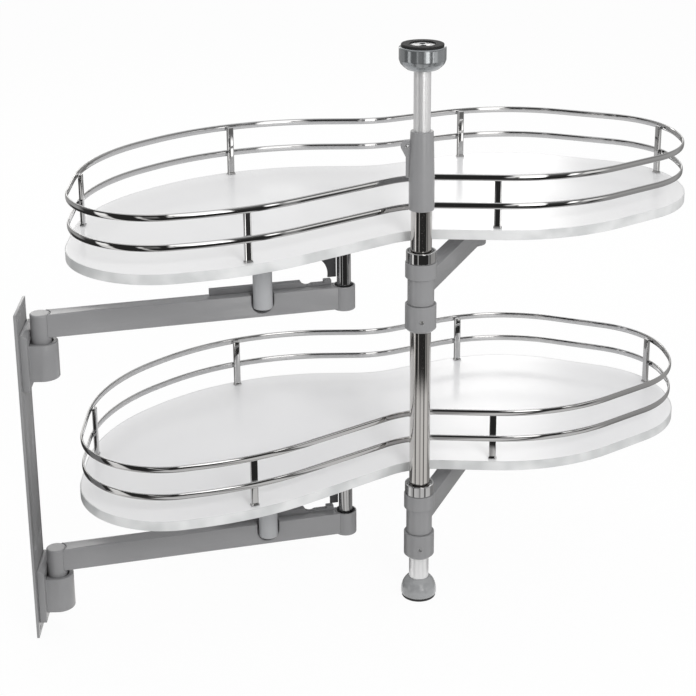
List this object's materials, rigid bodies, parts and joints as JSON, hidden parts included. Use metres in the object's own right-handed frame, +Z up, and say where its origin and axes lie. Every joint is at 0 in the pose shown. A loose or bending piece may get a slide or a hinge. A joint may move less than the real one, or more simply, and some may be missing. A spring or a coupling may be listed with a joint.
{
  "type": "swing-out corner carousel fitting",
  "caption": "Swing-out corner cabinet fitting: kidney-shaped railed trays on a telescopic column, each steered by a column arm and a wall arm.",
  "frame": {"origin": "column axis on the cabinet floor, at the underside of the foot", "axes": "+Z up the column, +X along the cabinet front away from the wall plate, -Y towards the side that the trays swing out to"},
  "size_m": [0.8119, 0.4875, 0.7],
  "materials": {
    "powder_coat": "satin powder coat, mid grey",
    "light_powder_coat": "satin powder coat, light grey",
    "chrome_plate": "polished chrome plate",
    "satin_aluminium": "satin anodised",
    "zinc_steel": "zinc plated",
    "cup_plastic": "glossy blue-grey",
    "sole_rubber": "matt black",
    "bush_plastic": "black acetal",
    "damper_plastic": "dark grey",
    "board_white": "white laminate, glossy",
    "edge_band": "pale grey banding"
  },
  "bodies": {
    "root": {"wall_plate": "powder_coat", "upper_hinge_bracket": "powder_coat", "lower_hinge_bracket": "powder_coat", "bracket_screws": "zinc_steel", "hinge_bushes": "bush_plastic", "foot_pad": "sole_rubber", "foot_cup": "cup_plastic", "foot_stem": "satin_aluminium", "column_tube": "chrome_plate", "clamp_sleeve": "powder_coat", "clamp_screw": "zinc_steel", "upper_set_collar": "powder_coat", "lower_set_collar": "powder_coat", "grub_screws": "zinc_steel", "upper_stop_ring": "chrome_plate", "lower_stop_ring": "chrome_plate"},
    "top_stay": {"inner_tube": "satin_aluminium", "top_cup": "cup_plastic", "top_pad": "sole_rubber", "top_disc": "zinc_steel"},
    "upper_column_arm": {"upper_column_hub": "powder_coat", "upper_column_bar": "powder_coat", "upper_pivot_pin": "zinc_steel", "upper_hub_bush": "bush_plastic"},
    "upper_wall_arm": {"upper_wall_bar": "powder_coat", "upper_wall_barrel": "powder_coat", "upper_wall_knuckle": "powder_coat", "upper_knuckle_bush": "bush_plastic", "upper_damper": "damper_plastic"},
    "upper_tray": {"upper_board": "board_white", "upper_edge_band": "edge_band", "upper_top_rail": "chrome_plate", "upper_mid_rail": "chrome_plate", "upper_posts": "chrome_plate", "upper_post_screws": "zinc_steel", "upper_carrier_plate": "powder_coat", "upper_tray_pin": "chrome_plate", "upper_stop_post": "light_powder_coat", "upper_catch_bracket": "damper_plastic", "upper_pivot_housing": "powder_coat"},
    "lower_column_arm": {"lower_column_hub": "powder_coat", "lower_column_bar": "powder_coat", "lower_pivot_pin": "zinc_steel", "lower_hub_bush": "bush_plastic"},
    "lower_wall_arm": {"lower_wall_bar": "powder_coat", "lower_wall_barrel": "powder_coat", "lower_wall_knuckle": "powder_coat", "lower_knuckle_bush": "bush_plastic", "lower_damper": "damper_plastic"},
    "lower_tray": {"lower_board": "board_white", "lower_edge_band": "edge_band", "lower_top_rail": "chrome_plate", "lower_mid_rail": "chrome_plate", "lower_posts": "chrome_plate", "lower_post_screws": "zinc_steel", "lower_carrier_plate": "powder_coat", "lower_tray_pin": "chrome_plate", "lower_stop_post": "light_powder_coat", "lower_catch_bracket": "damper_plastic", "lower_pivot_housing": "powder_coat"}
  },
  "joints": [
    {"name": "column_telescope", "type": "slide", "parent": "root", "child": "top_stay", "axis": [0, 0, 1], "range_m": [-0.03, 0.05]},
    {"name": "upper_wall_arm_swing", "type": "hinge", "parent": "root", "child": "upper_wall_arm", "pos_m": [-0.439, -0.047, 0.352], "axis": [0, 0, 1], "range_deg": [-17, 0.2]},
    {"name": "upper_tray_swing", "type": "hinge", "parent": "upper_wall_arm", "child": "upper_tray", "pos_m": [-0.09, 0.034, 0.387], "axis": [0, 0, 1], "range_deg": [0, 84]},
    {"name": "upper_column_arm_swing", "type": "hinge", "parent": "root", "child": "upper_column_arm", "pos_m": [0, 0, 0.412], "axis": [0, 0, 1], "range_deg": [0, 71.5]},
    {"name": "lower_wall_arm_swing", "type": "hinge", "parent": "root", "child": "lower_wall_arm", "pos_m": [-0.439, -0.047, 0.052], "axis": [0, 0, 1], "range_deg": [-17, 0.2]},
    {"name": "lower_tray_swing", "type": "hinge", "parent": "lower_wall_arm", "child": "lower_tray", "pos_m": [-0.09, 0.034, 0.087], "axis": [0, 0, 1], "range_deg": [0, 84]},
    {"name": "lower_column_arm_swing", "type": "hinge", "parent": "root", "child": "lower_column_arm", "pos_m": [0, 0, 0.112], "axis": [0, 0, 1], "range_deg": [0, 71.5]}
  ],
  "couplings": [
    {"joint": "upper_wall_arm_swing", "follows": "upper_tray_swing", "ratio": -0.197},
    {"joint": "upper_column_arm_swing", "follows": "upper_tray_swing", "ratio": 0.845},
    {"joint": "lower_wall_arm_swing", "follows": "lower_tray_swing", "ratio": -0.197},
    {"joint": "lower_column_arm_swing", "follows": "lower_tray_swing", "ratio": 0.845}
  ]
}
